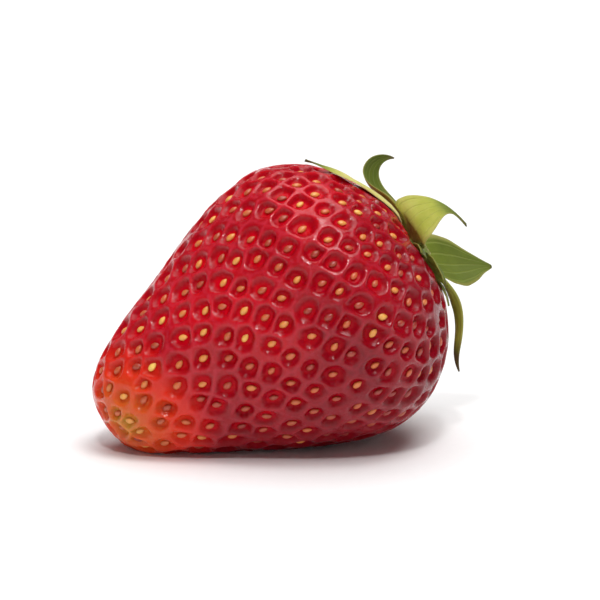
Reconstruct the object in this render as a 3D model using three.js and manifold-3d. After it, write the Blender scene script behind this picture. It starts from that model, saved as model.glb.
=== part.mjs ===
// A fresh strawberry as picked, lying on its side: a conic fruit with a blunt tip and broad shoulders,
// and on its crown a calyx of five sepals and five narrower bractlets around a small green disc, with the
// stub of the snapped stem in its middle.
//
// Millimetres, +Z up. The fruit rests on a small flat spot in the plane z = 0, and the origin is the middle
// of that spot. The tip points to -X and the crown, with the calyx, to +X and upwards.
//
// Body frame: origin at the tip, z along the fruit's axis to the crown, x towards the side that faces up as
// the fruit lies, y towards the front (-Y of the part).
// Calyx frame: the body frame moved to the middle of the crown. "Up" there means away from the fruit.

import * as THREE from "three";
import { mergeVertices } from "three/addons/utils/BufferGeometryUtils.js";
import Module from "manifold-3d";

// ---------------------------------------------------------------- driving dimensions

const AXIS_TILT = 26; // degrees between the fruit's axis and the surface it lies on
const FLAT_DEPTH = 0.75; // how far the fruit's own weight has flattened its underside
const CLEARANCE = 0.3; // gap kept between neighbouring pieces

// Half outline of the fruit, [radius, height above the tip], from the tip to the crown.
const FRUIT_OUTLINE = [
  [0, 0],
  [3.5, 0.5],
  [5.9, 2.0],
  [7.7, 4.3],
  [9.2, 7.0],
  [11.0, 10.6],
  [13.4, 15.6],
  [15.8, 20.6],
  [17.8, 25.4],
  [19.1, 30.4],
  [19.5, 34.8],
  [18.2, 39.2],
  [14.9, 43.1],
  [10.6, 46.0],
  [7.0, 47.4],
  [5.2, 47.3],
  [3.5, 46.6],
  [0, 46.5],
];
const FRUIT_LENGTH = FRUIT_OUTLINE.at(-1)[1];
const OUTLINE_STEPS = 44;
const AROUND_STEPS = 72;

const FRONT_FLATTENING = 0.04; // the fruit is a little narrower from front to back than from top to bottom
const LOBE_DEPTH = 0.016; // of the soft lobes around the fruit, as a share of its radius
const LOBE_COUNT = 3;
const LOBE_PHASE = 0.7; // radians
const CROWN_LEAN = 0.075; // slope of the crown down to the upper side

const DISC = { radius: 3.0, thickness: 1.0 };
const STEM = { radius: 1.1, length: 1.0 };

const SEPAL_THICKNESS = 0.45;
const SEPAL_STEPS = 14;
const SEPAL_STEPS_ACROSS = 4;
const LAYER_STEP = SEPAL_THICKNESS + CLEARANCE; // the sepals' bases lie on the bractlets'
const LAYERS_MEET = { from: 8.5, to: 12 }; // distance from the calyx axis where the sepals reach the fruit

// Share of a sepal's full width, [distance along it, width], from its base to its tip.
const SEPAL_OUTLINE = [
  [0, 0.46],
  [0.2, 0.84],
  [0.42, 1.0],
  [0.68, 0.78],
  [0.88, 0.36],
  [1, 0.06],
];

// turn: degrees about the calyx axis, 0 at the upper side and 90 at the front.
// layer: 0 lies on the fruit, 1 on the layer below.
// lift: degrees above the crown's plane, at even steps from the base to the tip.
// cup: rise of the edges, as a share of the half width.
// twist: degrees from the base to the tip, gathering towards the tip.
// sway: sideways bend at the tip. hook: the same, but all of it close to the tip.
const SEPALS = [
  {
    name: "sepal_upper_back", turn: -40, length: 15.4, width: 5.0, layer: 1,
    lift: [10, 0, -10, 50, 140], cup: 0.2, twist: -75, sway: 0, hook: 0,
  },
  {
    name: "sepal_upper_front", turn: 34, length: 9.8, width: 8.4, layer: 1,
    lift: [4, 16, 78, 94, 165], cup: -0.12, twist: 0, sway: 0, hook: 4.5,
  },
  {
    name: "sepal_front", turn: 110, length: 5.0, width: 5.0, layer: 1,
    lift: [4, -6, -16], cup: -0.1, twist: 0, sway: 0.6, hook: 0,
  },
  {
    name: "sepal_lower", turn: 176, length: 14.8, width: 4.4, layer: 1,
    lift: [10, 2, -22, -34, -4], cup: 0.2, twist: 12, sway: 0.4, hook: 0,
  },
  {
    name: "sepal_lower_back", turn: 228, length: 11.4, width: 8.4, layer: 1,
    lift: [18, 42, 54, 50], cup: 0.14, twist: 10, sway: -1.6, hook: 0,
  },
  {
    name: "bractlet_upper", turn: 2, length: 17.2, width: 3.8, layer: 0,
    lift: [8, -12, -32, -42], cup: 0, twist: 0, sway: 0, hook: 0,
  },
  {
    name: "bractlet_front", turn: 74, length: 4.5, width: 3.0, layer: 0,
    lift: [4, -6, -16], cup: -0.1, twist: 0, sway: 0.4, hook: 0,
  },
  {
    name: "bractlet_lower_front", turn: 146, length: 5.5, width: 3.2, layer: 0,
    lift: [4, -6, -18], cup: -0.1, twist: 0, sway: -0.5, hook: 0,
  },
  {
    name: "bractlet_lower_back", turn: 202, length: 11.5, width: 3.8, layer: 0,
    lift: [4, -10, -30, -30], cup: -0.1, twist: 6, sway: 0.4, hook: 0,
  },
  {
    name: "bractlet_back", turn: 272, length: 13.0, width: 4.0, layer: 0,
    lift: [4, -10, -30, -24], cup: -0.1, twist: -8, sway: -0.6, hook: 0,
  },
];

// ---------------------------------------------------------------- materials

const RIPE_RED = new THREE.MeshStandardMaterial({ color: 0xb3121e, roughness: 0.38, metalness: 0 });
const LEAF_GREEN = new THREE.MeshStandardMaterial({ color: 0x6f8f2c, roughness: 0.62, metalness: 0 });
const PALE_GREEN = new THREE.MeshStandardMaterial({ color: 0xa9b95c, roughness: 0.6, metalness: 0 });

// ---------------------------------------------------------------- helpers

const { degToRad, mapLinear, smoothstep } = THREE.MathUtils;

const wasm = await Module();
wasm.setup();

// Only the positions, with shared vertices merged, so that the mesh is one closed surface.
function closed(geometry) {
  geometry.deleteAttribute("normal");
  geometry.deleteAttribute("uv");
  return mergeVertices(geometry, 1e-4);
}

// Moves every vertex of a geometry by a function that changes the point it is given.
function moveVertices(geometry, move) {
  const position = geometry.getAttribute("position");
  const point = new THREE.Vector3();
  for (let i = 0; i < position.count; i++) {
    point.fromBufferAttribute(position, i);
    move(point);
    position.setXYZ(i, point.x, point.y, point.z);
  }
  return geometry;
}

function pointsThrough(pairs, steps) {
  return new THREE.SplineCurve(pairs.map(([x, y]) => new THREE.Vector2(x, y))).getSpacedPoints(steps);
}

// A smooth function of one number through pairs of [input, output].
function smoothThrough(pairs) {
  const points = pointsThrough(pairs, 200);
  return (x) => {
    const next = Math.max(1, points.findIndex((p) => p.x >= x));
    const [a, b] = [points[next - 1], points[next]];
    return mapLinear(x, a.x, b.x, a.y, b.y);
  };
}

// A closed solid of revolution about z, from points of [radius, height] that start and end on the axis.
function turned(points, around) {
  return closed(new THREE.LatheGeometry(points, around).rotateX(Math.PI / 2));
}

function solidFrom(geometry) {
  const mesh = new wasm.Mesh({
    numProp: 3,
    vertProperties: new Float32Array(geometry.getAttribute("position").array),
    triVerts: new Uint32Array(geometry.index.array),
  });
  return new wasm.Manifold(mesh);
}

function geometryFrom(solid) {
  const mesh = solid.getMesh();
  const geometry = new THREE.BufferGeometry();
  geometry.setAttribute("position", new THREE.BufferAttribute(mesh.vertProperties, mesh.numProp));
  geometry.setIndex(new THREE.BufferAttribute(mesh.triVerts, 1));
  return geometry;
}

function named(name, geometry, material) {
  const mesh = new THREE.Mesh(geometry, material);
  mesh.name = name;
  return mesh;
}

// ---------------------------------------------------------------- fruit

const fruitOutline = pointsThrough(FRUIT_OUTLINE, OUTLINE_STEPS);
fruitOutline.forEach((point) => (point.x = Math.max(0, point.x)));

const lobeScale = (around) => 1 + LOBE_DEPTH * Math.cos(LOBE_COUNT * around + LOBE_PHASE);

// Turns a point of the round fruit into one of the real, slightly uneven fruit, in the body frame.
function makeUneven(point) {
  const scale = lobeScale(Math.atan2(point.y, point.x));
  point.x *= scale;
  point.y *= scale * (1 - FRONT_FLATTENING);
  point.z -= CROWN_LEAN * point.x * (point.z / FRUIT_LENGTH) ** 2;
}

// Height of the fruit's crown in the calyx frame, before it leans, at a distance from the calyx axis.
function crownHeight(x, y) {
  const roundY = y / (1 - FRONT_FLATTENING);
  const radius = Math.hypot(x, roundY) / lobeScale(Math.atan2(roundY, x));
  const inner = fruitOutline.findLastIndex((point) => point.x >= radius);
  if (inner < 0) return -Infinity;
  const [a, b] = [fruitOutline[inner], fruitOutline[inner + 1]];
  return mapLinear(radius, a.x, b.x, a.y, b.y) - FRUIT_LENGTH;
}

// The fruit in the part's frame, cut flat where it lies, and how far its tip was moved to get there.
function layFruitDown(bodyToPart) {
  const body = moveVertices(turned(fruitOutline, AROUND_STEPS), makeUneven);
  body.applyMatrix4(bodyToPart);
  body.computeBoundingBox();
  const offset = new THREE.Vector3(0, 0, -body.boundingBox.min.z - FLAT_DEPTH);
  body.translate(0, 0, offset.z);
  const surface = closed(new THREE.BoxGeometry(200, 200, 50).translate(0, 0, -25));
  const geometry = geometryFrom(solidFrom(body).subtract(solidFrom(surface)));
  const flatMiddle = flatSpotMiddle(geometry);
  geometry.translate(-flatMiddle.x, -flatMiddle.y, 0);
  return { geometry, tip: offset.sub(flatMiddle) };
}

// The middle of the box around the vertices that lie in the plane z = 0.
function flatSpotMiddle(geometry) {
  const position = geometry.getAttribute("position");
  const box = new THREE.Box3();
  const point = new THREE.Vector3();
  for (let i = 0; i < position.count; i++) {
    point.fromBufferAttribute(position, i);
    if (Math.abs(point.z) < 1e-4) box.expandByPoint(point);
  }
  return box.getCenter(new THREE.Vector3()).setZ(0);
}

// ---------------------------------------------------------------- calyx, in the calyx frame

// The calyx sits square on the leaning crown.
function lean(point) {
  point.z -= CROWN_LEAN * point.x;
}

function discGeometry() {
  const { radius, thickness } = DISC;
  const outline = [
    [0, 0],
    [radius * 0.92, 0],
    [radius, thickness * 0.35],
    [radius * 0.86, thickness * 0.8],
    [radius * 0.6, thickness],
    [0, thickness],
  ];
  return turned(outline.map(([r, h]) => new THREE.Vector2(r, h + CLEARANCE)), 28);
}

function stemGeometry() {
  const { radius, length } = STEM;
  const bottom = DISC.thickness + 2 * CLEARANCE;
  const outline = [
    [0, 0],
    [radius * 1.2, 0],
    [radius, length * 0.4],
    [radius * 1.05, length * 0.9],
    [radius * 0.85, length],
    [0, length * 0.9],
  ];
  return turned(outline.map(([r, h]) => new THREE.Vector2(r, h + bottom)), 20);
}

const sepalWidth = smoothThrough(SEPAL_OUTLINE);

// The middle line of a sepal: a list of its distance from the calyx axis, height and lift in radians.
function middleLine({ length, lift, layer }) {
  const liftAt = smoothThrough(lift.map((degrees, i) => [i / (lift.length - 1), degToRad(degrees)]));
  const step = length / SEPAL_STEPS;
  const base = crownHeight(DISC.radius, 0) + CLEARANCE + LAYER_STEP * layer + SEPAL_THICKNESS / 2;
  const line = [{ out: DISC.radius + CLEARANCE, up: base, lift: liftAt(0) }];
  for (let i = 1; i <= SEPAL_STEPS; i++) {
    const { out, up } = line.at(-1);
    const slope = liftAt((i - 0.5) / SEPAL_STEPS);
    const next = { out: out + step * Math.cos(slope), up: up + step * Math.sin(slope) };
    line.push({ ...next, lift: liftAt(i / SEPAL_STEPS) });
  }
  return line;
}

// Lifts a point of a sepal off whatever lies below it: the crown, and the layer of bractlets near the middle.
function keepClear(point, layer, aboveUnderside) {
  const fromAxis = Math.hypot(point.x, point.y);
  const layerHeight = layer * LAYER_STEP * (1 - smoothstep(fromAxis, LAYERS_MEET.from, LAYERS_MEET.to));
  const lowest = crownHeight(point.x, point.y) + CLEARANCE + layerHeight + aboveUnderside;
  point.z = Math.max(point.z, lowest);
}

// A thin leaf bent along its middle line.
function sepalGeometry(sepal) {
  const line = middleLine(sepal);
  const turn = degToRad(sepal.turn);
  const sheet = closed(new THREE.BoxGeometry(1, 2, 1, SEPAL_STEPS, SEPAL_STEPS_ACROSS, 1));
  return moveVertices(sheet, (point) => {
    const along = point.x + 0.5;
    const aboveUnderside = (point.z + 0.5) * SEPAL_THICKNESS;
    const halfWidth = (sepal.width / 2) * sepalWidth(along);
    const across = point.y * halfWidth;
    const raised = sepal.cup * point.y ** 2 * halfWidth + point.z * SEPAL_THICKNESS;
    const twist = degToRad(sepal.twist) * along ** 2;
    const bend = sepal.sway * along ** 2 + sepal.hook * along ** 8;
    const side = across * Math.cos(twist) - raised * Math.sin(twist) + bend;
    const above = across * Math.sin(twist) + raised * Math.cos(twist);
    const { out, up, lift } = line[Math.round(along * SEPAL_STEPS)];
    const reach = out - above * Math.sin(lift);
    point.x = reach * Math.cos(turn) - side * Math.sin(turn);
    point.y = reach * Math.sin(turn) + side * Math.cos(turn);
    point.z = up + above * Math.cos(lift);
    keepClear(point, sepal.layer, aboveUnderside);
  });
}

function calyxGroup() {
  const calyx = new THREE.Group();
  calyx.add(named("calyx_disc", moveVertices(discGeometry(), lean), PALE_GREEN));
  calyx.add(named("stem_stub", moveVertices(stemGeometry(), lean), PALE_GREEN));
  for (const sepal of SEPALS) {
    calyx.add(named(sepal.name, moveVertices(sepalGeometry(sepal), lean), LEAF_GREEN));
  }
  return calyx;
}

// ---------------------------------------------------------------- assembly

const tilt = degToRad(AXIS_TILT);
const alongAxis = new THREE.Vector3(Math.cos(tilt), 0, Math.sin(tilt));
const upperSide = new THREE.Vector3(-Math.sin(tilt), 0, Math.cos(tilt));
const frontSide = new THREE.Vector3(0, -1, 0);
const bodyToPart = new THREE.Matrix4().makeBasis(upperSide, frontSide, alongAxis);

const strawberry = new THREE.Group();
const fruit = layFruitDown(bodyToPart);
strawberry.add(named("fruit", fruit.geometry, RIPE_RED));

const calyx = calyxGroup();
calyx.quaternion.setFromRotationMatrix(bodyToPart);
calyx.position.copy(alongAxis).multiplyScalar(FRUIT_LENGTH).add(fruit.tip);
strawberry.add(calyx);

export default strawberry;
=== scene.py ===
# The looks of a fresh strawberry lying on its side: glossy red skin pressed into a pit around every seed,
# some hundreds of golden seeds, and a green calyx of sepals and bractlets on the crown.
#
# Metres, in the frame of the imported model: +Z up, the tip towards -X, the crown and calyx towards +X.
# Body directions: AXIS from the tip to the crown, UPPER the side that faces up, FRONT towards -Y.
import math
import random

import bmesh
import bpy
import numpy as np
from mathutils import Matrix, Vector, noise
from mathutils.bvhtree import BVHTree
from mathutils.kdtree import KDTree


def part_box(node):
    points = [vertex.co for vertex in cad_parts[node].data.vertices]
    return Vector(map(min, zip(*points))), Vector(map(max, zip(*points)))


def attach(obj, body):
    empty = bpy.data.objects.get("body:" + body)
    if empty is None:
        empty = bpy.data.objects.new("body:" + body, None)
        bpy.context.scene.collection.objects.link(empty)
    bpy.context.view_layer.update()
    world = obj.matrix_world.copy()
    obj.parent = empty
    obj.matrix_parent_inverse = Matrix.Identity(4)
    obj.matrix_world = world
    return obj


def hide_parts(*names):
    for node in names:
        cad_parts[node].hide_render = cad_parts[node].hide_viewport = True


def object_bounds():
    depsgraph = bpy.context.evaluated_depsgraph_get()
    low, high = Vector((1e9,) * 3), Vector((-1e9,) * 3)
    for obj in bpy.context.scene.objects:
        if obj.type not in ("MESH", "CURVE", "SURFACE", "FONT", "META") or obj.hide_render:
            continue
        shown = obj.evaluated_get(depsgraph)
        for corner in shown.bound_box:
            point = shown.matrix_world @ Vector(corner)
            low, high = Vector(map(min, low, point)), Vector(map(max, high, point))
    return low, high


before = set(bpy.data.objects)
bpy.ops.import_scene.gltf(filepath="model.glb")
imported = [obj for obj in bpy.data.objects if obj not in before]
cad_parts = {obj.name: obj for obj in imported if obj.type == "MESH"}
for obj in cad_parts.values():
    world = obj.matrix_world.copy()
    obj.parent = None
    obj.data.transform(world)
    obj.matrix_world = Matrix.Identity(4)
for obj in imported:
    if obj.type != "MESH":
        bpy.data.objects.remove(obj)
cad_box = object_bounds()
MM = 0.001

# ------------------------------------------------------------------ places, from the frame

AXIS_TILT = math.radians(26)  # between the fruit's axis and the surface it lies on
AXIS = Vector((math.cos(AXIS_TILT), 0, math.sin(AXIS_TILT)))
UPPER = Vector((-math.sin(AXIS_TILT), 0, math.cos(AXIS_TILT)))
FRONT = Vector((0, -1, 0))
CROWN_LEAN = 0.075  # slope of the crown down to the upper side


def cad_mesh(node):
    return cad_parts[node].data


def positions(mesh):
    """The places of a mesh's vertices, one row each."""
    points = np.empty(len(mesh.vertices) * 3)
    mesh.vertices.foreach_get("co", points)
    return points.reshape(-1, 3)


def surface_of(mesh):
    """A mesh's faces, to find where a line meets them or which point of them is nearest."""
    shape = bmesh.new()
    shape.from_mesh(mesh)
    tree = BVHTree.FromBMesh(shape)
    shape.free()
    return tree


DISC_MIDDLE = Vector(positions(cad_mesh("calyx_disc")).mean(0))
fruit_surface = surface_of(cad_mesh("fruit"))
CROWN = fruit_surface.ray_cast(DISC_MIDDLE, -AXIS)[0]
BEYOND_TIP = CROWN - AXIS * 2 * (CROWN - Vector(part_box("fruit")[0])).length
TIP = fruit_surface.ray_cast(BEYOND_TIP, AXIS)[0]
HEART = TIP + AXIS * (CROWN - TIP).length * 0.6  # every part of the skin is in sight of this point

# ------------------------------------------------------------------ sizes

SKIN_STEP = 0.285 * MM  # size of the skin's faces
SKIN_SMOOTHING = 40  # rounds of smoothing, to take the small steps out of them
SKIN_SWELL = 0.35 * MM  # height of the wide, soft unevenness of the skin
SWELL_SIZE = 7 * MM
GRAIN_HEIGHT = 0.07 * MM  # height of its small unevenness
GRAIN_SIZE = 1.1 * MM

SEED_COUNT = 470  # over the whole fruit, of which the hub of the calyx covers a few
SEED_SCATTER = 0.027  # of the seeds about an even spiral, as a share of their distance from the heart
TIP_CROWDING = 0.35  # how many more seeds the tip has for its area, as a share
TIP_ANGLE = 0.7  # radians from the axis, as far as the crowding reaches
SEED_LENGTH = 1.4 * MM
SEED_WIDTH = 0.9 * MM
SEED_DEPTH = 0.6 * MM
SEED_SIZES = (0.88, 1.05)
SEED_TURN = 0.5  # radians to either side of straight along the fruit
SEED_LIFT = 0.18  # of a seed's middle above the floor of its pit, as a share of its depth

PIT_DEPTH = 0.8 * MM
PIT_RADIUS = 1.3 * MM
PIT_STRETCH = 1.09  # pits are this much longer than round ones, and this much narrower
PIT_WALL = (0.6, 1.4)  # where a pit's wall starts and ends, as shares of its radius
PIT_SIZES = (0.8, 1.18)
PIT_DEPTHS = (0.7, 1.15)
PIT_SLANTS = (-0.7, 0.7)  # radians
PIT_WANDER = 0.195 * MM  # of the pits' edges
RIDGE_WIDTH = 0.6 * MM  # of the rounded net of skin between the pits
RIDGE_WANDER = 0.12 * MM
RIDGE_RISE = 0.15  # as a share of the pits' depth
NEIGHBOURS = 4  # seeds that can shape a point of the skin

PALE_MIDDLE = TIP + AXIS * 2.5 * MM - UPPER * 1.0 * MM + FRONT * 5.0 * MM  # of the unripe patch at the tip
PALE_REACH = 18 * MM
SHADE_TOWARDS = AXIS * 0.4 - UPPER  # painted shade: the red darkens towards the lower shoulder
SHADE_SPAN = (-29 * MM, 10 * MM)  # where it starts and ends, from the crown

HUB_RADIUS = 3.1 * MM
SEEDLESS_RADIUS = 1.25 * HUB_RADIUS  # about the middle of the crown
LEAF_CLEARANCE = 0.25 * MM  # between a leaf and what it lies on
LAYER_STEP = 0.7 * MM  # the sepals' bases lie on the bractlets'
LAYERS_MEET = (8 * MM, 12 * MM)  # distance from the calyx axis where the sepals come down to the fruit

rng = random.Random(4)

# ------------------------------------------------------------------ materials


class Wire:
    """An output of a node, on which Python's operators add Math nodes."""

    def __init__(self, finish, socket):
        self.finish = finish
        self.socket = socket

    def math(self, operation, *others):
        inputs = dict(enumerate((self, *others)))
        return self.finish.node("ShaderNodeMath", {"operation": operation}, inputs)

    def __add__(self, other):
        return self.math("ADD", other)

    __radd__ = __add__

    def __mul__(self, other):
        return self.math("MULTIPLY", other)

    __rmul__ = __mul__

    def __sub__(self, other):
        return self.math("SUBTRACT", other)

    def __rsub__(self, other):
        return self.finish.node("ShaderNodeMath", {"operation": "SUBTRACT"}, {0: other, 1: self})

    def between(self, low, high):
        """0 below low, 1 above high and a soft step between them."""
        settings = {"interpolation_type": "SMOOTHSTEP"}
        inputs = {"Value": self, "From Min": low, "From Max": high}
        return self.finish.node("ShaderNodeMapRange", settings, inputs)


class Finish:
    """A material: its nodes are added by calling node(), and surface() ends it."""

    def __init__(self, name):
        self.material = bpy.data.materials.new(name)
        self.material.use_nodes = True
        self.tree = self.material.node_tree
        self.tree.nodes.clear()

    def node(self, kind, settings=None, inputs=None, output=0):
        """Adds a node with its settings, and then its inputs' values or links. Returns one of its outputs."""
        node = self.tree.nodes.new(kind)
        for name, value in (settings or {}).items():
            if name == "stops":
                self.set_stops(node.color_ramp, value)
            else:
                setattr(node, name, value)
        for name, value in (inputs or {}).items():
            if isinstance(value, Wire):
                self.tree.links.new(value.socket, node.inputs[name])
            else:
                node.inputs[name].default_value = value
        return Wire(self, node.outputs[output]) if len(node.outputs) else node

    @staticmethod
    def set_stops(ramp, stops):
        while len(ramp.elements) < len(stops):
            ramp.elements.new(1)
        for element, (place, colour) in zip(ramp.elements, stops):
            element.position = place
            element.color = (*colour, 1)

    def here(self):
        """The place on the piece, in metres."""
        return self.node("ShaderNodeTexCoord", output="Object")

    def attribute(self, name):
        return self.node("ShaderNodeAttribute", {"attribute_name": name}, output="Fac")

    def noise(self, place, scale, detail=3, roughness=0.55):
        inputs = {"Vector": place, "Scale": scale, "Detail": detail, "Roughness": roughness}
        return self.node("ShaderNodeTexNoise", None, inputs)

    def ramp(self, value, stops):
        """A colour for each value, from pairs of a value and a colour."""
        return self.node("ShaderNodeValToRGB", {"stops": stops}, {"Fac": value})

    def mix(self, factor, first, second):
        """A colour between two colours. A Mix node's colour sockets are numbers 6 and 7."""
        first, second = (c if isinstance(c, Wire) else (*c, 1) for c in (first, second))
        inputs = {0: factor, 6: first, 7: second}
        return self.node("ShaderNodeMix", {"data_type": "RGBA"}, inputs, output=2)

    def bump(self, height, distance, strength, under=None):
        inputs = {"Height": height, "Distance": distance, "Strength": strength}
        if under is not None:
            inputs["Normal"] = under
        return self.node("ShaderNodeBump", None, inputs)

    def surface(self, **inputs):
        names = {name.replace("_", " "): value for name, value in inputs.items()}
        shader = self.node("ShaderNodeBsdfPrincipled", None, names)
        self.node("ShaderNodeOutputMaterial", None, {"Surface": shader})
        return self.material


def skin_finish():
    """Ripe skin: wet red, bright in the pits and rosy on the ridges with a painted highlight along their
    crests, darker in painted shade towards the lower shoulder and on each pit's wall, and yellow-green at the
    unripe tip.
    """
    skin = Finish("fruit_skin")
    here = skin.here()
    pit = skin.attribute("pit")
    crest = skin.attribute("crest")
    deepness = skin.attribute("deepness")
    paleness = skin.attribute("paleness")
    patches = skin.noise(here, scale=90, detail=2)
    mottle = skin.noise(here, scale=900, detail=4, roughness=0.6)
    fine = skin.noise(here, scale=2600, detail=2)

    bright = skin.mix(patches.between(0.35, 0.7), (0.38, 0.002, 0.009), (0.54, 0.003, 0.011))
    # A darker copy of the red, mixed in towards the lower shoulder as painted shade.
    shaded_red = skin.mix(patches.between(0.35, 0.7), (0.17, 0.001, 0.007), (0.26, 0.002, 0.010))
    red = skin.mix((deepness + (mottle - 0.5) * 0.7).between(0.0, 1.0), bright, shaded_red)
    # Brighter red in the pits, less of it where the painted shade lies.
    red = skin.mix(pit * (1 - deepness * 0.75) * 0.8, red, (0.68, 0.001, 0.010))
    # Rosy tint on the ridges' crests: partly paler flesh, partly a painted highlight of their sheen, weaker
    # in the painted shade.
    rosy_crest_sheen = crest * mottle.between(0.3, 0.6) * (0.62 - deepness * 0.5)
    red = skin.mix(rosy_crest_sheen, red, (0.60, 0.034, 0.062))
    # Painted shade: a darker ring on each pit's wall.
    pit_wall_shade = pit * (1 - pit) * 4
    red = skin.mix(pit_wall_shade * 0.45, red, (0.22, 0.001, 0.007))

    blush = paleness + (patches - 0.5) * 0.22 + (mottle - 0.5) * 0.12
    unripe_stops = [
        (0.35, (0.56, 0.008, 0.008)),
        (0.60, (0.66, 0.030, 0.010)),
        (0.82, (0.62, 0.100, 0.014)),
        (0.97, (0.50, 0.270, 0.035)),
    ]
    colour = skin.mix(blush.between(0.2, 0.6), red, skin.ramp(blush, unripe_stops))
    relief = skin.bump(fine, 0.03 * MM, 0.6)
    relief = skin.bump(mottle, 0.2 * MM, 0.8, relief)
    return skin.surface(
        Base_Color=colour,
        Roughness=0.20 + mottle * 0.16,
        Normal=relief,
        IOR=1.18,
        Subsurface_Weight=0.6,
        Subsurface_Radius=(1.0, 0.10, 0.06),
        Subsurface_Scale=1.8 * MM,
        Coat_Weight=(1 - pit).between(0.1, 1.0) * 0.65,
        Coat_Roughness=0.10,
        Coat_IOR=1.42,
    )


def seed_finish():
    """Seeds: golden yellow, orange or reddish brown by seed, with a brown speckle."""
    seed = Finish("achene")
    golds = [
        (0.0, (0.32, 0.020, 0.015)),
        (0.4, (0.60, 0.120, 0.035)),
        (0.7, (0.78, 0.300, 0.060)),
        (1.0, (0.90, 0.580, 0.120)),
    ]
    gold = seed.ramp(seed.attribute("kind"), golds)
    speckle = seed.noise(seed.here(), scale=2500, detail=2)
    return seed.surface(
        Base_Color=seed.mix(speckle.between(0.4, 0.8) * 0.4, gold, (0.45, 0.16, 0.03)),
        Roughness=0.34 + speckle * 0.2,
        Normal=seed.bump(speckle, 0.05 * MM, 0.6),
        Coat_Weight=0.3,
        Coat_Roughness=0.2,
    )


def leaf_finish():
    """Sepals: olive green above and pale below, with paler veins and edges and a dry brown tip."""
    leaf = Finish("sepal")
    here = leaf.here()
    along = leaf.attribute("along")
    across = leaf.attribute("across")
    pallor = leaf.attribute("pallor")
    dryness = leaf.attribute("dryness")
    patches = leaf.noise(here, scale=260)
    fine = leaf.noise(here, scale=1800)

    greens = [
        (0.0, (0.095, 0.125, 0.010)),
        (0.25, (0.16, 0.20, 0.016)),
        (0.5, (0.40, 0.42, 0.060)),
        (0.75, (0.64, 0.58, 0.18)),
        (1.0, (0.84, 0.74, 0.42)),
    ]
    paler = pallor * (1 - along.between(0.7, 0.95) * 0.85)
    shade = paler * 0.47 + (patches - 0.5) * 0.4 + (1 - along.between(0.1, 0.55)) * 0.12
    veins = (across * 2.6 + (patches - 0.5) * 0.3).math("PINGPONG", 0.5).between(0.0, 0.16)
    edge = across.math("ABSOLUTE").between(0.8, 1.0)
    dry = (along + dryness + (patches - 0.5) * 0.25).between(0.92, 1.12)
    colour = leaf.mix((1 - veins) * 0.16, leaf.ramp(shade, greens), (0.40, 0.42, 0.11))
    colour = leaf.mix(edge * 0.45, colour, (0.45, 0.38, 0.12))
    colour = leaf.mix(dry, colour, (0.10, 0.065, 0.025))
    relief = leaf.bump(fine, 0.05 * MM, 0.6)
    relief = leaf.bump(veins, 0.10 * MM, 0.6, relief)
    return leaf.surface(
        Base_Color=colour,
        Roughness=0.5 + fine * 0.2,
        Normal=relief,
        IOR=1.33,
        Subsurface_Weight=0.15,
        Subsurface_Radius=(0.4, 0.8, 0.1),
        Subsurface_Scale=0.5 * MM,
    )


def hub_finish():
    """The hub and the snapped stem: pale yellow-green, browner where it is torn."""
    hub = Finish("calyx_core")
    here = hub.here()
    patches = hub.noise(here, scale=500)
    fine = hub.noise(here, scale=2600)
    colour = hub.mix(patches.between(0.35, 0.65), (0.34, 0.42, 0.10), (0.52, 0.56, 0.20))
    colour = hub.mix(hub.attribute("torn") * 0.8, colour, (0.30, 0.20, 0.08))
    return hub.surface(
        Base_Color=colour,
        Roughness=0.5 + fine * 0.25,
        Normal=hub.bump(fine, 0.08 * MM, 0.7),
    )


def floor_finish():
    """A plain matt white sweep of card."""
    floor = Finish("floor")
    grain = floor.noise(floor.here(), scale=900, detail=2)
    return floor.surface(
        Base_Color=floor.mix(grain, (0.90, 0.90, 0.90), (0.93, 0.93, 0.93)),
        Roughness=0.7 + grain * 0.1,
    )


# ------------------------------------------------------------------ mesh helpers


def smooth_object(shape, name, material):
    """The finished shape as an object of the scene, shaded smooth."""
    mesh = bpy.data.meshes.new(name)
    shape.to_mesh(mesh)
    shape.free()
    for face in mesh.polygons:
        face.use_smooth = True
    mesh.materials.append(material)
    made = bpy.data.objects.new(name, mesh)
    bpy.context.scene.collection.objects.link(made)
    return made


def as_piece(shape, name, material):
    """The finished shape as a piece of the object that rides with its body."""
    piece = smooth_object(shape, name, material)
    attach(piece, "root")
    return piece


def set_attribute(mesh, name, values):
    """Keeps a value for every vertex, for a material to read."""
    mesh.attributes.new(name, "FLOAT", "POINT").data.foreach_set("value", values)


def face_outward(shape):
    """Turns the faces of a closed shape so that they all look out of it."""
    bmesh.ops.recalc_face_normals(shape, faces=shape.faces)
    if shape.calc_volume(signed=True) < 0:
        bmesh.ops.reverse_faces(shape, faces=shape.faces)


def spun(outline, steps):
    """A shape spun about Z from points of (radius, height), and closed where they reach the axis."""
    shape = bmesh.new()
    verts = [shape.verts.new((r, 0, z)) for r, z in outline]
    edges = [shape.edges.new(pair) for pair in zip(verts, verts[1:])]
    full_turn = {"cent": (0, 0, 0), "axis": (0, 0, 1), "angle": 2 * math.pi, "use_merge": True}
    bmesh.ops.spin(shape, geom=verts + edges, steps=steps, **full_turn)
    bmesh.ops.remove_doubles(shape, verts=shape.verts, dist=1e-5)
    bmesh.ops.recalc_face_normals(shape, faces=shape.faces)
    return shape


def smooth_step(value, low, high):
    """0 below low, 1 above high and a soft step between them."""
    t = np.clip((value - low) / (high - low), 0, 1)
    return t * t * (3 - 2 * t)


def smooth_through(values):
    """A smooth function on 0 to 1 through evenly spaced values."""
    places = np.linspace(0, 1, len(values))
    slopes = np.gradient(values, places)

    def at(t):
        i = min(int(t * (len(values) - 1)), len(values) - 2)
        step = places[1]
        u = (t - places[i]) / step
        start, end = values[i], values[i + 1]
        bend_in, bend_out = slopes[i] * step, slopes[i + 1] * step
        return (
            start * (2 * u**3 - 3 * u**2 + 1)
            + bend_in * (u**3 - 2 * u**2 + u)
            + end * (3 * u**2 - 2 * u**3)
            + bend_out * (u**3 - u**2)
        )

    return at


# ------------------------------------------------------------------ fruit


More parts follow.
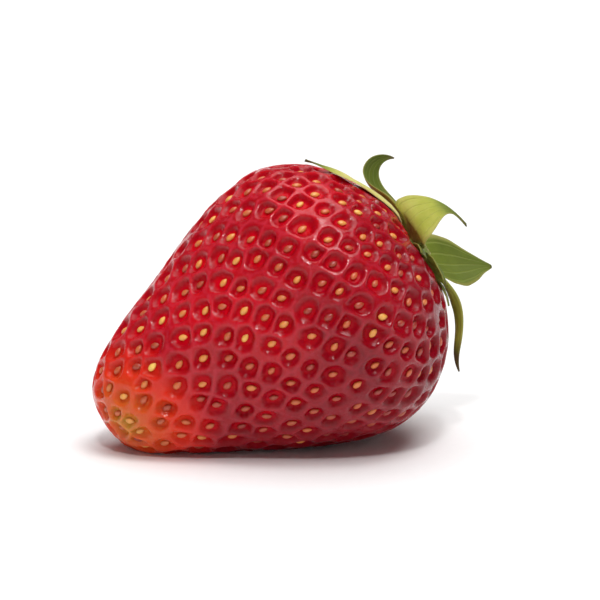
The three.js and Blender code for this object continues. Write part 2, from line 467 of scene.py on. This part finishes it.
def seed_places():
    """Where each seed sits, and which way is out of the fruit there. They follow a spiral from the tip
    to the crown that gives every seed the same share of skin, or a smaller one at the tip."""
    mesh = cad_mesh("fruit")
    centres = np.array([face.center for face in mesh.polygons])
    areas = np.array([face.area for face in mesh.polygons])
    outward = centres - np.array(HEART)
    polar = np.arccos(-(outward @ np.array(AXIS)) / np.linalg.norm(outward, axis=1))
    order = np.argsort(polar)
    crowding = 1 + TIP_CROWDING * (1 - smooth_step(polar[order], 0.0, TIP_ANGLE))
    share = np.cumsum(areas[order] * crowding)
    golden_angle = math.pi * (3 - math.sqrt(5))
    places = []
    for i in range(SEED_COUNT):
        angle = np.interp((i + 0.5) / SEED_COUNT, share / share[-1], polar[order])
        around = i * golden_angle
        side = UPPER * math.cos(around) + FRONT * math.sin(around)
        scatter = Vector([rng.uniform(-SEED_SCATTER, SEED_SCATTER) for _ in range(3)])
        direction = side * math.sin(angle) - AXIS * math.cos(angle) + scatter
        place, normal, _, _ = fruit_surface.ray_cast(HEART, direction)
        if (place - CROWN).length > SEEDLESS_RADIUS:
            places.append((place, normal))
    return places


def seed_frame(normal):
    """Directions along the fruit, round it, and out of it, where a seed sits."""
    along = (AXIS - normal * AXIS.dot(normal)).normalized()
    return along, normal.cross(along), normal


def even_skin():
    """A copy of the fruit's solid with small even faces."""
    mesh = cad_mesh("fruit").copy()
    shape = bmesh.new()
    shape.from_mesh(mesh)
    bmesh.ops.remove_doubles(shape, verts=shape.verts, dist=0.001 * MM)
    shape.to_mesh(mesh)
    shape.free()
    draft = bpy.data.objects.new("skin_draft", mesh)
    bpy.context.scene.collection.objects.link(draft)
    remesh = draft.modifiers.new("even", "REMESH")
    remesh.mode = "VOXEL"
    remesh.voxel_size = SKIN_STEP
    smooth = draft.modifiers.new("soften", "SMOOTH")
    smooth.factor = 0.5
    smooth.iterations = SKIN_SMOOTHING
    evened = bpy.data.meshes.new_from_object(draft.evaluated_get(bpy.context.evaluated_depsgraph_get()))
    bpy.data.objects.remove(draft)
    return evened


def seed_distances(points, seeds):
    """Distances from every point to its nearest and second nearest seed, in pits of that seed's own size
    and slant, and which seed is the nearest."""
    tree = KDTree(len(seeds))
    for i, (place, _) in enumerate(seeds):
        tree.insert(place, i)
    tree.balance()
    near = np.array([[hit[1] for hit in tree.find_n(point, NEIGHBOURS)] for point in points])
    places = np.array([place for place, _ in seeds])
    frames = np.array([seed_frame(normal) for _, normal in seeds])
    sizes = np.array([rng.uniform(*PIT_SIZES) for _ in seeds])[near]
    slants = np.array([rng.uniform(*PIT_SLANTS) for _ in seeds])[near]
    offsets = points[:, None, :] - places[near]
    forward = np.einsum("ijk,ijk->ij", offsets, frames[near, 0])
    sideways = np.einsum("ijk,ijk->ij", offsets, frames[near, 1])
    along = (forward * np.cos(slants) + sideways * np.sin(slants)) / PIT_STRETCH
    across = (sideways * np.cos(slants) - forward * np.sin(slants)) * PIT_STRETCH
    distances = np.hypot(along, across) / sizes
    order = np.argsort(distances, axis=1)
    rows = np.arange(len(points))
    return distances[rows, order[:, 0]], distances[rows, order[:, 1]], near[rows, order[:, 0]]


def rough_values(points, size):
    """Noise between -1 and 1 at every point, with features of the given size."""
    return np.array([noise.noise(Vector(point) / size) for point in points])


def press_pits(mesh, seeds):
    """Moves the skin in around every seed, up to a net of narrow ridges, and keeps where both are."""
    points = positions(mesh)
    normals = np.empty(len(points) * 3)
    mesh.vertices.foreach_get("normal", normals)
    normals = normals.reshape(-1, 3)
    first, second, owner = seed_distances(points, seeds)
    depths = np.array([rng.uniform(*PIT_DEPTHS) for _ in seeds])[owner]
    grain = rough_values(points, GRAIN_SIZE)
    to_ridge = (second - first) / 2 + grain * RIDGE_WANDER
    off_ridge = smooth_step(to_ridge, 0, RIDGE_WIDTH)
    wall_start, wall_end = (PIT_RADIUS * share for share in PIT_WALL)
    in_reach = 1 - smooth_step(first - grain * PIT_WANDER, wall_start, wall_end)
    pit = off_ridge * in_reach
    swell = SKIN_SWELL * rough_values(points, SWELL_SIZE) + GRAIN_HEIGHT * grain
    moved = points + normals * (swell + PIT_DEPTH * (RIDGE_RISE - pit * depths))[:, None]
    moved[:, 2] = np.maximum(moved[:, 2], 0)
    mesh.vertices.foreach_set("co", moved.ravel())
    set_attribute(mesh, "pit", pit)
    # The crests of the ridges, where the skin's colour paints a rosy tint and highlight.
    set_attribute(mesh, "crest", 1 - smooth_step(to_ridge, 0, RIDGE_WIDTH * 0.6))


def lower_shade_at(points):
    """How much painted shade darkens the red: 0 on the upper side of the tip and 1 at the lower shoulder."""
    return smooth_step((points - np.array(CROWN)) @ np.array(SHADE_TOWARDS), *SHADE_SPAN)


def mark_ripeness_and_shade(mesh):
    """Keeps how pale the skin is, 1 at the front of the tip, and how much painted shade darkens its red."""
    points = positions(mesh)
    distance = np.linalg.norm(points - np.array(PALE_MIDDLE), axis=1)
    set_attribute(mesh, "paleness", 1 - distance / PALE_REACH)
    # Painted shade: how much darker the red is towards the lower shoulder.
    set_attribute(mesh, "deepness", lower_shade_at(points))


def fruit(seeds):
    """The fruit's skin, with a pit for every seed."""
    mesh = even_skin()
    press_pits(mesh, seeds)
    mark_ripeness_and_shade(mesh)
    shape = bmesh.new()
    shape.from_mesh(mesh)
    piece = as_piece(shape, "fruit_skin", skin_finish())
    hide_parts("fruit")
    return piece


# ------------------------------------------------------------------ seeds


def seed_mesh():
    """One seed lying along X, its middle at the origin and its point towards +X."""
    shape = bmesh.new()
    bmesh.ops.create_icosphere(shape, subdivisions=2, radius=1)
    for vert in shape.verts:
        x, y, z = vert.co
        narrowing = 1 - 0.42 * max(0, x) ** 1.5
        vert.co = (x * SEED_LENGTH / 2, y * narrowing * SEED_WIDTH / 2, z * narrowing * SEED_DEPTH / 2)
    mesh = bpy.data.meshes.new("seed")
    shape.to_mesh(mesh)
    shape.free()
    return mesh


def seed_pose(place, normal, skin_surface):
    """The transform that sets a seed in the bottom of its pit, a little turned."""
    floor, _, _, _ = skin_surface.ray_cast(place + normal * MM, -normal)
    bottom = floor if floor else place - normal * PIT_DEPTH
    turn = rng.uniform(-SEED_TURN, SEED_TURN)
    size = rng.uniform(*SEED_SIZES)
    spin = Matrix.Rotation(turn, 3, "Z") * size
    pose = (Matrix(seed_frame(normal)).transposed() @ spin).to_4x4()
    pose.translation = bottom + normal * SEED_DEPTH * SEED_LIFT
    return pose


def seed_lightness(place):
    """How golden a seed is: a mixture with patches in it, darker and redder in the painted shade towards the
    lower shoulder, as the skin is.
    """
    patch = 0.3 * noise.noise(place / SWELL_SIZE)
    return rng.betavariate(1.6, 1.6) + patch - 0.35 * lower_shade_at(np.array(place)) + 0.05


def seeds_piece(seeds, skin):
    """All the seeds as one piece, each set in the bottom of its pit."""
    single = seed_mesh()
    skin_surface = surface_of(skin.data)
    shape = bmesh.new()
    kind = shape.verts.layers.float.new("kind")
    for place, normal in seeds:
        before = len(shape.verts)
        shape.from_mesh(single)
        shape.verts.ensure_lookup_table()
        new = shape.verts[before:]
        bmesh.ops.transform(shape, matrix=seed_pose(place, normal, skin_surface), verts=new)
        lightness = seed_lightness(place)
        for vert in new:
            vert.co.z = max(vert.co.z, 0)
            vert[kind] = lightness
    bpy.data.meshes.remove(single)
    as_piece(shape, "achenes", seed_finish())


# ------------------------------------------------------------------ calyx


def calyx_point(x, y, z):
    """A place in the calyx's own frame: x to the upper side, y to the front and z out of the crown."""
    return CROWN + UPPER * x + FRONT * y + AXIS * (z - CROWN_LEAN * x)


LEAF_OUTLINE = smooth_through([0.5, 0.84, 1.0, 0.93, 0.7, 0.36, 0.05])  # its width, from base to tip
LEAF_STEPS = 36
LEAF_STEPS_ACROSS = 12
LEAF_THICKNESS = 0.4 * MM
LEAF_START = 0.85 * HUB_RADIUS  # its base is under the hub's rim
LEAF_BASE_HEIGHT = 0.5 * MM
LEAF_BASE_STEP = 0.75 * MM  # how much higher it is on the next layer
RUFFLE = 0.25 * MM  # height of the waves of its edges
RUFFLE_WAVES = 9  # radians of wave along a leaf
TOOTHING = 0.05  # unevenness of its edges, as a share of its width


def middle_line(length, lift, layer):
    """Distance from the calyx axis, height and lift at even steps along a leaf."""
    lift_at = smooth_through([math.radians(degrees) for degrees in lift])
    out, up = LEAF_START, LEAF_BASE_HEIGHT + layer * LEAF_BASE_STEP
    line = [(out, up, lift_at(0))]
    step = length * MM / LEAF_STEPS
    for i in range(LEAF_STEPS):
        slope = lift_at((i + 0.5) / LEAF_STEPS)
        out += step * math.cos(slope)
        up += step * math.sin(slope)
        line.append((out, up, lift_at((i + 1) / LEAF_STEPS)))
    return line


def keep_clear(point, layer, above):
    """Moves a point of a leaf off the fruit, and off the layer of bractlets near the middle."""
    from_axis = (point - CROWN - AXIS * (point - CROWN).dot(AXIS)).length
    near_middle = 1 - smooth_step(from_axis, *LAYERS_MEET)
    needed = LEAF_CLEARANCE + layer * LAYER_STEP * near_middle + above
    nearest, normal, _, _ = fruit_surface.find_nearest(point)
    height = (point - nearest).dot(normal)
    if height < needed:
        return point + normal * (needed - height)
    return point


def flat_sheet():
    """A thin closed sheet, from -1 to 1 along X and Y, to be bent into a leaf. Its z is from 0 to 1."""
    shape = bmesh.new()
    bmesh.ops.create_grid(shape, x_segments=LEAF_STEPS, y_segments=LEAF_STEPS_ACROSS, size=1)
    bmesh.ops.solidify(shape, geom=shape.faces, thickness=1)
    low = min(vert.co.z for vert in shape.verts)
    bmesh.ops.translate(shape, verts=shape.verts, vec=(0, 0, -low))
    return shape


def leaf(
    name, turn, length, width, lift, layer=0, cup=0.0, twist=0, sway=0.0, hook=0.0,
    fold=0.12, dryness=0.0, pallor=0.0,
):
    """A sepal or bractlet: a thin sheet folded along its midrib and bent along its middle line.

    Length, width, sway and hook are in millimetres, and turn, lift and twist in degrees. Turn is about
    the calyx axis, 0 at the upper side. Lift is above the crown's plane, at even steps from base to tip.
    Cup and fold raise the edges, as shares of the half width. Sway bends the leaf sideways, and hook
    bends only its tip."""
    line = middle_line(length, lift, layer)
    shape = flat_sheet()
    layers = {key: shape.verts.layers.float.new(key) for key in ("along", "across", "pallor", "dryness")}
    phase = rng.uniform(0, 10)
    turned = math.radians(turn)
    for vert in shape.verts:
        along = (vert.co.x + 1) / 2
        across = vert.co.y
        top = vert.co.z
        edge = math.copysign(1, across)
        half_width = width / 2 * MM * LEAF_OUTLINE(along)
        tooth = 1 + TOOTHING * noise.noise(Vector((along * 9, edge * 3, phase)))
        thickness = LEAF_THICKNESS * (1 - 0.65 * across**2) * (1 - 0.4 * along)
        wave = RUFFLE * across**2 * math.sin(along * RUFFLE_WAVES + phase + 1.3 * edge) * along
        sideways = across * half_width * tooth
        raised = cup * across**2 * half_width + fold * abs(across) * half_width
        raised += (top - 0.5) * thickness + wave
        twisted = math.radians(twist) * along**2
        bend = (sway * along**2 + hook * along**8) * MM
        side = sideways * math.cos(twisted) - raised * math.sin(twisted) + bend
        above = sideways * math.sin(twisted) + raised * math.cos(twisted)
        out, up, slope = line[round(along * LEAF_STEPS)]
        reach = out - above * math.sin(slope)
        point = calyx_point(
            reach * math.cos(turned) - side * math.sin(turned),
            reach * math.sin(turned) + side * math.cos(turned),
            up + above * math.cos(slope),
        )
        vert.co = keep_clear(point, layer, top * thickness)
        looks = {"along": along, "across": across, "pallor": 1 - top + pallor, "dryness": dryness}
        for key, value in looks.items():
            vert[layers[key]] = value
    face_outward(shape)
    piece = as_piece(shape, name + "_leaf", leaf_material)
    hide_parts(name)


# Outlines of (radius, height): the hub's radii are shares of its own, and the rest is in millimetres.
HUB_OUTLINE = [
    (0, 0.2),
    (0.7, 0.2),
    (1.0, 0.5),
    (1.02, 0.9),
    (0.85, 1.35),
    (0.6, 1.5),
    (0.42, 1.45),
    (0, 1.4),
]
STEM_OUTLINE = [
    (0, 1.1),
    (1.3, 1.1),
    (1.15, 1.6),
    (1.08, 2.0),
    (1.1, 2.3),
    (0.95, 2.5),
    (0.6, 2.42),
    (0.3, 2.25),
    (0, 2.2),
]
STEM_RAGGED = (1.9, 2.4)  # heights over which the stem's surface breaks up
STEM_TORN = (2.2, 2.5)  # and over which its colour turns to that of the tear
LEAF_COUNT = 10


def hub():
    """The disc that the leaves grow from, with a soft rib into each of them."""
    shape = spun(HUB_OUTLINE, steps=80)
    torn = shape.verts.layers.float.new("torn")
    for vert in shape.verts:
        x, y, z = vert.co
        rib = math.cos(LEAF_COUNT * math.atan2(y, x))
        radius = HUB_RADIUS * (1 + 0.10 * rib * smooth_step(math.hypot(x, y), 0.3, 1.0))
        vert.co = calyx_point(x * radius, y * radius, z * MM)
        vert[torn] = 0.0
    face_outward(shape)
    piece = as_piece(shape, "calyx_hub", hub_material)
    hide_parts("calyx_disc")


def stem_stub():
    """The snapped stem: a short ribbed stub with a torn end."""
    shape = spun(STEM_OUTLINE, steps=48)
    torn = shape.verts.layers.float.new("torn")
    for vert in shape.verts:
        x, y, z = vert.co
        scale = MM * (1 + 0.05 * math.cos(6 * math.atan2(y, x)))
        ragged = 0.22 * noise.noise(Vector((x * 2.5, y * 2.5, 4))) * smooth_step(z, *STEM_RAGGED)
        vert.co = calyx_point(x * scale, y * scale, (z + ragged) * MM)
        vert[torn] = float(smooth_step(z, *STEM_TORN))
    face_outward(shape)
    piece = as_piece(shape, "stem_end", hub_material)
    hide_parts("stem_stub")


def calyx():
    """The hub, the stub of the stem, five sepals and five bractlets."""
    hub()
    stem_stub()
    leaf("sepal_upper_back", -40, 16.0, 5.2, [10, 0, -10, 50, 140], 1, cup=0.2, twist=-75, dryness=0.06)
    leaf(
        "sepal_upper_front", 34, 10.4, 8.4, [4, 16, 78, 94, 165], 1, cup=-0.12, hook=4.5,
        dryness=0.05, pallor=0.1,
    )
    leaf("sepal_front", 110, 5.5, 5.0, [4, -6, -16], 1, cup=-0.1, sway=0.6, dryness=0.05)
    leaf(
        "sepal_lower", 176, 15.5, 4.4, [10, 2, -22, -34, -4], 1, cup=0.3, twist=12, sway=0.4,
        dryness=0.25,
    )
    leaf("sepal_lower_back", 228, 12.0, 8.8, [18, 42, 54, 50], 1, cup=0.14, twist=10, sway=-1.6)
    leaf("bractlet_upper", 2, 17.8, 3.8, [8, -12, -32, -42], dryness=0.06, pallor=1.5, fold=0)
    leaf("bractlet_front", 74, 5.0, 3.0, [4, -6, -16], cup=-0.1, sway=0.4)
    leaf("bractlet_lower_front", 146, 6.0, 3.2, [4, -6, -18], cup=-0.1, sway=-0.5)
    leaf(
        "bractlet_lower_back", 202, 12.0, 3.8, [4, -10, -30, -30], cup=-0.1, twist=6, sway=0.4,
        dryness=0.1,
    )
    leaf("bractlet_back", 272, 13.5, 4.0, [4, -10, -30, -24], cup=-0.1, twist=-8, sway=-0.6, dryness=0.08)


# ------------------------------------------------------------------ floor, light and camera

FLOOR_RADIUS = 2.4
FLOOR_RISE = 0.45


def floor():
    """A round white sweep, flat under the fruit and turned up at its far edge."""
    bend_steps = 12
    turns = [math.pi / 2 * i / bend_steps for i in range(bend_steps + 1)]
    edge = [(FLOOR_RADIUS + FLOOR_RISE * math.sin(t), FLOOR_RISE * (1 - math.cos(t))) for t in turns]
    sweep = smooth_object(spun([(0, 0), (0.3, 0), *edge], steps=96), "floor", floor_finish())


def soft_light(name, towards, strength, spread):
    """Light from a large distant soft box, from a direction and as wide as it looks, in degrees."""
    light = bpy.data.lights.new(name, "SUN")
    light.energy = strength
    light.angle = math.radians(spread)
    lamp = bpy.data.objects.new(name, light)
    lamp.rotation_euler = Vector(towards).to_track_quat("Z", "Y").to_euler()
    bpy.context.scene.collection.objects.link(lamp)


def lights():
    """Soft studio light, mostly from above."""
    soft_light("key", (0.25, -0.5, 1.4), 1.4, 28)
    soft_light("glint", (-0.15, -0.7, 1.0), 0.85, 7)
    soft_light("top", (0.1, 0.2, 1.0), 1.7, 60)
    soft_light("fill", (-0.5, -1.0, 0.4), 0.2, 40)
    world = bpy.data.worlds.new("studio")
    world.use_nodes = True
    background = world.node_tree.nodes["Background"]
    background.inputs["Color"].default_value = (1, 1, 1, 1)
    background.inputs["Strength"].default_value = 0.08
    bpy.context.scene.world = world
    bpy.context.scene.view_settings.view_transform = "Standard"


CAMERA_AZIMUTH = math.radians(-11)
CAMERA_ELEVATION = math.radians(12)
CAMERA_DISTANCE = 0.62
VIEW_WIDTH = 0.080  # how much the picture takes in, at the fruit


def camera():
    """A camera that looks at the middle of the part."""
    data = bpy.data.cameras.new("camera")
    data.sensor_width = 36
    data.lens = data.sensor_width * CAMERA_DISTANCE / VIEW_WIDTH
    data.clip_start = 0.01
    eye = bpy.data.objects.new("camera", data)
    level = math.cos(CAMERA_ELEVATION)
    back = Vector((
        math.sin(CAMERA_AZIMUTH) * level,
        -math.cos(CAMERA_AZIMUTH) * level,
        math.sin(CAMERA_ELEVATION),
    ))
    eye.location = (cad_box[0] + cad_box[1]) / 2 + back * CAMERA_DISTANCE
    eye.rotation_euler = (-back).to_track_quat("-Z", "Y").to_euler()
    bpy.context.scene.collection.objects.link(eye)
    bpy.context.scene.camera = eye


# ------------------------------------------------------------------ scene

leaf_material = leaf_finish()
hub_material = hub_finish()

seeds = seed_places()
skin = fruit(seeds)
seeds_piece(seeds, skin)
calyx()
floor()
lights()
camera()
